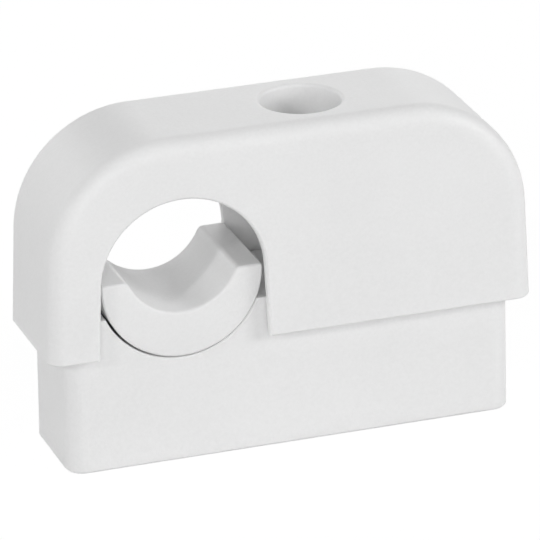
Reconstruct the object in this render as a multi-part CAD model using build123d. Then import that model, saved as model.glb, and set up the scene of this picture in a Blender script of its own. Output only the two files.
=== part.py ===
from build123d import *
from math import cos, radians, sin, tan
import os

# Two-size pipe clip for a wall: a base with a half-round seat, a hood that fits over it like a lid,
# and a loose half ring that makes the seat smaller. X runs along the clip, Y from its front to its
# back, Z out from the wall. The origin is the middle of the base's underside. Millimetres, degrees.

# Pipes and their place
large_pipe = 22.0           # outside diameter of the pipe that lies in the base
small_pipe = 15.0           # outside diameter of the pipe that lies in the insert
pipe_clearance = 0.25       # radial room of the large pipe between base and cover
insert_clearance = 0.4      # radial room of the small pipe in the insert
seat_height = 14.45         # lowest line of the base's seat above the wall
end_land = 4.6              # base's near end to the side of the pipe's way

# Wall screw
screw_land = 8.2            # other side of the pipe's way to the screw's axis
screw_diameter = 5.0
screw_clearance = 0.1       # radial room of the screw in the base
sleeve_clearance = 0.3      # radial room of the screw in the cover's sleeve
screw_head = 10.4           # widest head that goes into the cover's well
head_clearance = 0.2        # radial room of that head

# Base
base_length = 61.8
base_depth = 16.2
deck_drop = 4.5             # its deck lies this far below the large pipe's axis
base_draft = 0.5            # lean of its four sides
base_corner = 2.5           # radius of its upright corners
base_wall = 1.8             # sides, and the shell under the seat
base_top = 2.0              # thickness of the deck that the cover rests on
base_rib = 1.2
rib_pitch = 9.0             # spacing of the cross ribs
rib_count = 2               # cross ribs on the screw's far side
rib_setback = 3.0           # cross ribs end this far above the wall
post_wall = 2.0             # tube round the screw
seat_break = 0.2            # chamfer on the edges of its seat, front and back
foot_break = 0.3            # chamfer on the edge that meets the wall

# Cover
crown = 8.05                # top of the pipe's way to the cover's top
skirt_overlap = 5.0         # how far it reaches down over the base
skirt_gap = 0.2             # room between the base and the inside of its rim
end_wall = 2.4
face_wall = 1.25
roof = 2.0
end_draft = 2.3             # lean of its two ends
face_draft = 0.7            # lean of its front and back
top_corner = 16.0           # radius of its two big top corners
edge_round = 2.3            # radius round its front and back edges
slot_draft = 2.4            # lean of the legs under the arch
well_depth = 5.0            # recess for the screw's head in its top
well_floor = 2.2            # what the screw's head pulls on
sleeve_wall = 2.0           # wall round the well, and round the screw below it
well_round = 0.5            # soft rim of the well
edge_break = 0.25           # chamfer on the outer edges of its slots and its lower rim
cover_rib = 1.2
stop_rib_reach = 4.5        # stop ribs stand out this far from the end wall
stop_rib_spread = 8.0       # distance between the two stop ribs

# Insert
insert_play = 0.24          # its outside is this much smaller in radius than the base's seat
insert_gap = 0.05           # room left where it lies closest to the seat
insert_lean = 70.0          # that place, round from the bottom towards the screw: it lies over to that side
insert_floor = 6.3          # thickness under the small pipe
insert_lip = 0.35           # horns rise this far above the ring's own axis
insert_setback = 0.15       # each end lies this far inside the base's faces
horn_round = 1.0            # inner edge of each horn's top
mouth_round = 0.45          # edges of its seat, front and back
ring_break = 0.2            # chamfer on the edges of its outside, front and back

pipe_bore = large_pipe / 2 + pipe_clearance
pipe_height = seat_height + pipe_bore
pipe_x = end_land + pipe_bore - base_length / 2
screw_bore = screw_diameter / 2 + screw_clearance
well_radius = screw_head / 2 + head_clearance
screw_x = pipe_x + pipe_bore + screw_land
base_height = pipe_height - deck_drop
cover_height = pipe_height + pipe_bore + crown
rim_height = base_height - skirt_overlap
cavity_length = base_length + 2 * skirt_gap
cavity_depth = base_depth + 2 * skirt_gap
cover_length = cavity_length + 2 * end_wall
cover_depth = cavity_depth + 2 * face_wall
through = 2 * cover_depth   # longer than anything is deep


def upright(radius, low, high):
    """Round bar on the screw's axis."""
    return Pos(screw_x, 0, low) * Cylinder(radius, high - low, align=(Align.CENTER, Align.CENTER, Align.MIN))


def crossbar(radius):
    """Round bar on the large pipe's axis."""
    return Pos(pipe_x, 0, pipe_height) * Rot(X=90) * Cylinder(radius, through)


def block(x_size, y_size, low, high, x=0.0, y=0.0):
    """Box standing on a level."""
    return Pos(x, y, low) * Box(x_size, y_size, high - low, align=(Align.CENTER, Align.CENTER, Align.MIN))


def base_core():
    """What is left empty under the base, between its sides, deck, seat shell, screw tube and ribs."""
    inner_length = base_length - 2 * base_wall
    inner_depth = base_depth - 2 * base_wall
    plan = RectangleRounded(inner_length, inner_depth, base_corner - base_wall / 2)
    core = extrude(plan, amount=base_height - base_top, taper=base_draft)
    core -= crossbar(pipe_bore + base_wall)
    core -= upright(screw_bore + post_wall, 0, base_height)
    core -= block(base_length, base_rib, 0, base_height)
    for step in range(rib_count):
        core -= block(base_rib, base_depth, rib_setback, base_height, x=screw_x + (step + 1) * rib_pitch)
    core -= block(base_rib, base_depth, rib_setback, base_height, x=pipe_x)
    return core


def make_base():
    """Moulded block, cored from the wall side, with the half-round seat and the screw hole."""
    plan = RectangleRounded(base_length, base_depth, base_corner)
    body = extrude(plan, amount=base_height, taper=base_draft)
    body -= crossbar(pipe_bore)
    body -= base_core()
    body -= upright(screw_bore, 0, base_height)
    seat_edges = body.edges().filter_by(GeomType.ELLIPSE).sort_by(Axis.Y)
    body = chamfer([seat_edges[0], seat_edges[-1]], seat_break)
    foot = body.faces().sort_by(Axis.Z)[0].outer_wire().edges()
    return chamfer(foot, foot_break)


def hood(length, depth, top, corner):
    """Block from the rim up to a level, with four leaning sides and two big top corners."""
    rise = top - rim_height
    half_top = length / 2 - rise * tan(radians(end_draft))
    half_roof = depth / 2 - rise * tan(radians(face_draft))
    side = make_face(Polyline((-length / 2, rim_height), (length / 2, rim_height), (half_top, top),
                              (-half_top, top), close=True))
    side = fillet(side.vertices().sort_by(Axis.Y)[-2:], corner)
    face = make_face(Polyline((-depth / 2, rim_height), (depth / 2, rim_height), (half_roof, top),
                              (-half_roof, top), close=True))
    bar = extrude(Plane.XZ * side, amount=depth, both=True)
    return bar & extrude(Plane.YZ * face, amount=length, both=True)


def soft_hood():
    """Outside of the cover: its hood with the front and back edges rounded, apart from the rim."""
    body = hood(cover_length, cover_depth, cover_height, top_corner)
    faces = body.faces().sort_by(Axis.Y)
    edges = faces[0].edges() + faces[-1].edges()
    return fillet(edges.filter_by(lambda edge: edge.center().Z > rim_height + edge_round), edge_round)


def slot():
    """Bar with the outline of the pipe's way through the cover: an arch on two legs that lean apart."""
    low = rim_height - pipe_height
    shoulder = (pipe_bore * cos(radians(slot_draft)), pipe_bore * sin(radians(slot_draft)))
    foot = shoulder[0] + (shoulder[1] - low) * tan(radians(slot_draft))
    outline = make_face(
        Line((-foot, low), (foot, low))
        + Line((foot, low), shoulder)
        + ThreePointArc(shoulder, (0, pipe_bore), (-shoulder[0], shoulder[1]))
        + Line((-shoulder[0], shoulder[1]), (-foot, low)))
    return Pos(pipe_x, 0, pipe_height) * extrude(Plane.XZ * outline, amount=through, both=True)


def outer_edges(body):
    """Edges of the cover's slots on its front and back, and the outer edge of its lower rim."""
    walls = body.faces().filter_by(GeomType.PLANE).sort_by(Axis.Y)
    reach = pipe_bore + face_wall
    slots = (walls[0].edges() + walls[-1].edges()).filter_by_position(Axis.X, pipe_x - reach, pipe_x + reach)
    slots = slots.filter_by_position(Axis.Z, rim_height + edge_break, pipe_height + reach)
    rim = body.edges().group_by(Axis.Z)[0].filter_by(
        lambda edge: abs(edge.center().X) > cavity_length / 2 + edge_break
        or abs(edge.center().Y) > cover_depth / 2 - edge_break)
    return slots + rim


def make_cover():
    """Hood with an arched slot in its front and back, standing on the deck by the sleeve round the screw."""
    sleeve_bore = screw_diameter / 2 + sleeve_clearance
    well_bottom = cover_height - well_depth
    inside = upright(sleeve_bore + sleeve_wall, base_height, cover_height)
    inside += upright(well_radius + sleeve_wall, well_bottom - well_floor, cover_height)
    inside += block(cover_rib, cavity_depth, base_height, cover_height, x=screw_x)
    for side in (-1, 1):
        inside += block(2 * stop_rib_reach, cover_rib, base_height, cover_height,
                        x=cavity_length / 2, y=side * stop_rib_spread / 2)
    cavity = hood(cavity_length, cavity_depth, cover_height - roof, top_corner - roof) - inside
    body = soft_hood() - cavity - slot()
    body -= upright(well_radius, well_bottom, cover_height)
    body -= upright(sleeve_bore, base_height, cover_height)
    well_rim = body.edges().filter_by(GeomType.CIRCLE).group_by(Axis.Z)[-1]
    body = fillet(well_rim, well_round)
    return chamfer(outer_edges(body), edge_break)


def make_insert():
    """Half ring that lies in the base's seat and brings it down to the small pipe."""
    ring_radius = pipe_bore - insert_play
    seat_radius = small_pipe / 2 + insert_clearance
    length = base_depth - 2 * insert_setback
    ring = Circle(ring_radius) - Pos(0, insert_floor - ring_radius + seat_radius) * Circle(seat_radius)
    ring -= Pos(0, insert_lip + ring_radius) * Rectangle(2 * through, 2 * ring_radius)
    inner_corners = ring.vertices().group_by(Axis.Y)[-1].sort_by(Axis.X)[1:3]
    ring = fillet(inner_corners, horn_round)
    body = extrude(Plane.XZ * ring, amount=length / 2, both=True)
    mouth = body.edges().filter_by(GeomType.CIRCLE).group_by(SortBy.RADIUS)[1]
    body = fillet(mouth, mouth_round)
    outside = body.edges().filter_by(GeomType.CIRCLE).group_by(SortBy.RADIUS)[-1]
    body = chamfer(outside, ring_break)
    shift = insert_play - insert_gap
    lean = radians(insert_lean)
    return Pos(pipe_x + shift * sin(lean), 0, pipe_height - shift * cos(lean)) * body


os.makedirs("parts", exist_ok=True)
for name, make in (("base", make_base), ("cover", make_cover), ("insert", make_insert)):
    export_step(make(), f"parts/{name}.step")
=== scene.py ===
from math import cos, pi, radians, sin

import bpy
from mathutils import Matrix, Vector

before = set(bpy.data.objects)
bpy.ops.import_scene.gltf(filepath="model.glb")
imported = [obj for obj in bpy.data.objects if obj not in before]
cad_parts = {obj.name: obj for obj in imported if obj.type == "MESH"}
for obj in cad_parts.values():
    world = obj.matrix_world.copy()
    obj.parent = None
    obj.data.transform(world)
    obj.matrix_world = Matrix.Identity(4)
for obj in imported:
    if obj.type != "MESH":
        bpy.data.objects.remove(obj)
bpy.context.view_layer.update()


# Base
# The block that lies against the wall, moulded in one shot from white plastic and cored out from behind.
# Its mould is spark eroded, so the skin has a fine even grain and a dull, slightly waxy gloss.

class Value:
    """What one output of a material's node gives. Arithmetic on it adds the nodes that work it out."""

    def __init__(self, tree, socket=None):
        self.tree = tree
        self.socket = socket

    def node(self, kind, settings=None, inputs=None, output=0):
        """Adds a node: its settings first, then the numbers, colours or other values of its sockets."""
        made = self.tree.nodes.new("ShaderNode" + kind)
        for name, setting in (settings or {}).items():
            setattr(made, name, setting)
        for name, given in (inputs or {}).items():
            self.feed(made.inputs[name], given)
        return Value(self.tree, made.outputs[output])

    def feed(self, socket, given):
        """Links a value to a socket, or sets the socket to a plain number or colour."""
        if isinstance(given, Value):
            self.tree.links.new(given.socket, socket)
        else:
            socket.default_value = given

    def math(self, operation, first, second):
        return self.node("Math", {"operation": operation}, {0: first, 1: second})

    def __add__(self, other):
        return self.math("ADD", self, other)

    def __mul__(self, other):
        return self.math("MULTIPLY", self, other)

    def __sub__(self, other):
        return self.math("SUBTRACT", self, other)

    def __rsub__(self, other):
        return self.math("SUBTRACT", other, self)

    __radd__ = __add__
    __rmul__ = __mul__


def moulded_white(name, drift):
    """White plastic from a spark-eroded mould. drift moves the pattern, so that no two pieces share it."""
    pale, deep = (0.91, 0.91, 0.91, 1), (0.85, 0.85, 0.85, 1)
    relief_depth, light_depth = 0.00006, 0.0012
    material = bpy.data.materials.new(name)
    material.use_nodes = True
    shader = material.node_tree.nodes["Principled BSDF"]
    skin = Value(material.node_tree)
    on_piece = skin.node("TexCoord", output="Object")
    place = skin.node("Mapping", inputs={"Vector": on_piece, "Location": drift})

    def noise(scale, detail, rough=0.5, vector=place):
        """Noise with this many spots to a metre."""
        return skin.node("TexNoise", inputs={"Vector": vector, "Scale": scale, "Detail": detail,
                                             "Roughness": rough})

    def streaks(scale, detail, turn=(0.0, 0.0, 0.0)):
        """Noise whose spots are drawn out, with a scale of its own along each axis."""
        drawn = skin.node("Mapping", inputs={"Vector": place, "Rotation": turn, "Scale": scale})
        return noise(1.0, detail, vector=drawn)

    # Colour: faint clouds and flow marks in the melt, and painted shade that darkens the pits of the grain a
    # little.
    cloud = noise(scale=55.0, detail=2.0)
    flow = streaks(scale=(60.0, 240.0, 240.0), detail=3.0)
    grain = noise(scale=2300.0, detail=3.0, rough=0.6)
    painted_pit_shade = grain * 1.3 - 0.65
    tone = cloud * 0.65 + flow * 0.35 + painted_pit_shade
    skin.feed(shader.inputs["Base Color"],
              skin.node("Mix", {"data_type": "RGBA"}, {0: tone, 6: deep, 7: pale}, output=2))

    # Gloss: dull, uneven with the grain and where the piece was rubbed.
    rub = streaks(scale=(500.0, 90.0, 900.0), detail=4.0, turn=(0.3, 0.5, 0.2))
    skin.feed(shader.inputs["Roughness"], 0.42 + grain * 0.10 + rub * 0.06)

    # Relief: the grain on wider, shallower dimples, a few hundredths of a millimetre deep.
    dimples = noise(scale=420.0, detail=1.0)
    relief = skin.node("Bump", inputs={"Height": grain * 0.5 + dimples * 0.5, "Strength": 0.8,
                                       "Distance": relief_depth})
    skin.feed(shader.inputs["Normal"], relief)

    # Light goes about a millimetre into the plastic.
    shader.inputs["IOR"].default_value = 1.49
    shader.inputs["Subsurface Weight"].default_value = 0.5
    shader.inputs["Subsurface Radius"].default_value = (1.0, 1.0, 1.0)
    shader.inputs["Subsurface Scale"].default_value = light_depth
    return material


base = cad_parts["base"]
base.material_slots[0].material = moulded_white("base_white", drift=(0.013, 0.027, 0.005))


# Insert
# The loose half ring that lies in the base's seat and brings it down to the small pipe. A separate
# moulding of the same plastic, dropped in by hand and lying over to the screw's side.

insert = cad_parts["insert"]
insert.material_slots[0].material = moulded_white("insert_white", drift=(-0.052, 0.018, -0.026))


# Cover
# The hood that fits over the base like a lid and closes the pipe's way. One moulding of the same plastic,
# with leaning walls, big soft corners, an arched slot front and back and a recess for the wall screw's head.

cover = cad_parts["cover"]
cover.material_slots[0].material = moulded_white("cover_white", drift=(0.071, -0.032, 0.044))


# Floor and background
# A plain white sheet, a tenth of a millimetre under the clip. The camera sees it as bright as the paper
# white behind, apart from the clip's weak shadow. From below it is clear, so that the underside shows.

sheet_size, sheet_level = 6.0, -0.0001
white, sheet_white = (1, 1, 1, 1), (0.85, 0.85, 0.85, 1)
bpy.ops.object.select_all(action="DESELECT")
bpy.ops.mesh.primitive_plane_add(size=sheet_size, location=(0.0, 0.0, sheet_level))
floor = bpy.context.active_object
floor.name = "floor"
sheet = bpy.data.materials.new("floor_white")
sheet.use_nodes = True
paper = Value(sheet.node_tree)
sheet_output = sheet.node_tree.nodes["Material Output"]
sheet.node_tree.nodes.remove(sheet.node_tree.nodes["Principled BSDF"])


def seen_directly(where):
    """One for a ray from the camera, off a gloss or through a clear piece, nothing for all others."""
    straight = where.node("LightPath", output="Is Camera Ray")
    off_gloss = where.node("LightPath", output="Is Glossy Ray")
    through = where.node("LightPath", output="Is Transmission Ray")
    return straight + off_gloss + through


glowing_share, glow = 0.85, 1.08
upper_side = paper.node("MixShader", inputs={
    0: seen_directly(paper) * glowing_share,
    1: paper.node("BsdfDiffuse", inputs={"Color": sheet_white}),
    2: paper.node("Emission", inputs={"Color": white, "Strength": glow})})
paper.feed(sheet_output.inputs["Surface"], paper.node("MixShader", inputs={
    0: paper.node("NewGeometry", output="Backfacing"),
    1: upper_side,
    2: paper.node("BsdfTransparent")}))
floor.data.materials.append(sheet)

fill_light, paper_white = 0.26, 1.0
world = bpy.data.worlds.new("studio")
bpy.context.scene.world = world
world.use_nodes = True
air = Value(world.node_tree)
world.node_tree.nodes.remove(world.node_tree.nodes["Background"])
air.feed(world.node_tree.nodes["World Output"].inputs["Surface"], air.node("MixShader", inputs={
    0: seen_directly(air),
    1: air.node("Background", inputs={"Color": white, "Strength": fill_light}),
    2: air.node("Background", inputs={"Color": white, "Strength": paper_white})}))


# Lights
# Soft boxes round the clip, as in a light tent. The right one grazes the front, two at the left lift the
# front and the big corner, two behind light the seat, and a small lamp draws a faint shadow line into it.

middle = Vector((0.0, 0.0, 0.022))


def soft_box(name, bearing, height, distance, size, power):
    """A square lamp aimed at the clip's middle: degrees to the right of the front and above the floor."""
    lamp = bpy.data.lights.new(name, "AREA")
    lamp.size = size
    lamp.energy = power
    box = bpy.data.objects.new(name, lamp)
    bpy.context.scene.collection.objects.link(box)
    across, up = radians(bearing), radians(height)
    towards = Vector((sin(across) * cos(up), -cos(across) * cos(up), sin(up)))
    box.location = middle + towards * distance
    box.rotation_euler = towards.to_track_quat("Z", "Y").to_euler()


soft_box("right_box", bearing=58.0, height=21.0, distance=0.8, size=0.30, power=2.36)
soft_box("left_box", bearing=-25.0, height=17.0, distance=0.8, size=0.30, power=1.64)
soft_box("upper_left_box", bearing=-95.0, height=60.0, distance=0.8, size=0.40, power=0.50)
soft_box("left_lamp", bearing=-62.0, height=25.0, distance=1.0, size=0.03, power=1.36)
soft_box("back_left_box", bearing=-158.0, height=20.0, distance=0.8, size=0.40, power=0.92)
soft_box("back_right_box", bearing=155.0, height=19.0, distance=0.8, size=0.40, power=0.92)


# Camera
# A long lens from the front left and a little above, held a degree out of level. It looks at the middle
# of the clip, so that the clip fills the frame.

yaw, pitch, roll = radians(18.72), radians(22.32), radians(-1.0)
aim, reach = Vector((-0.00018, 0.0, 0.02147)), 0.6910
focal_length, film_width = 349.2, 36.0
turn = (Matrix.Rotation(-yaw, 3, "Z") @ Matrix.Rotation(pi / 2 - pitch, 3, "X")
        @ Matrix.Rotation(roll, 3, "Z"))
lens = bpy.data.cameras.new("camera")
lens.lens = focal_length
lens.sensor_width = film_width
lens.clip_start, lens.clip_end = 0.01, 20.0
camera = bpy.data.objects.new("camera", lens)
bpy.context.scene.collection.objects.link(camera)
camera.location = aim + turn.col[2] * reach
camera.rotation_euler = turn.to_euler()
bpy.context.scene.camera = camera
bpy.context.scene.view_settings.view_transform = "Standard"
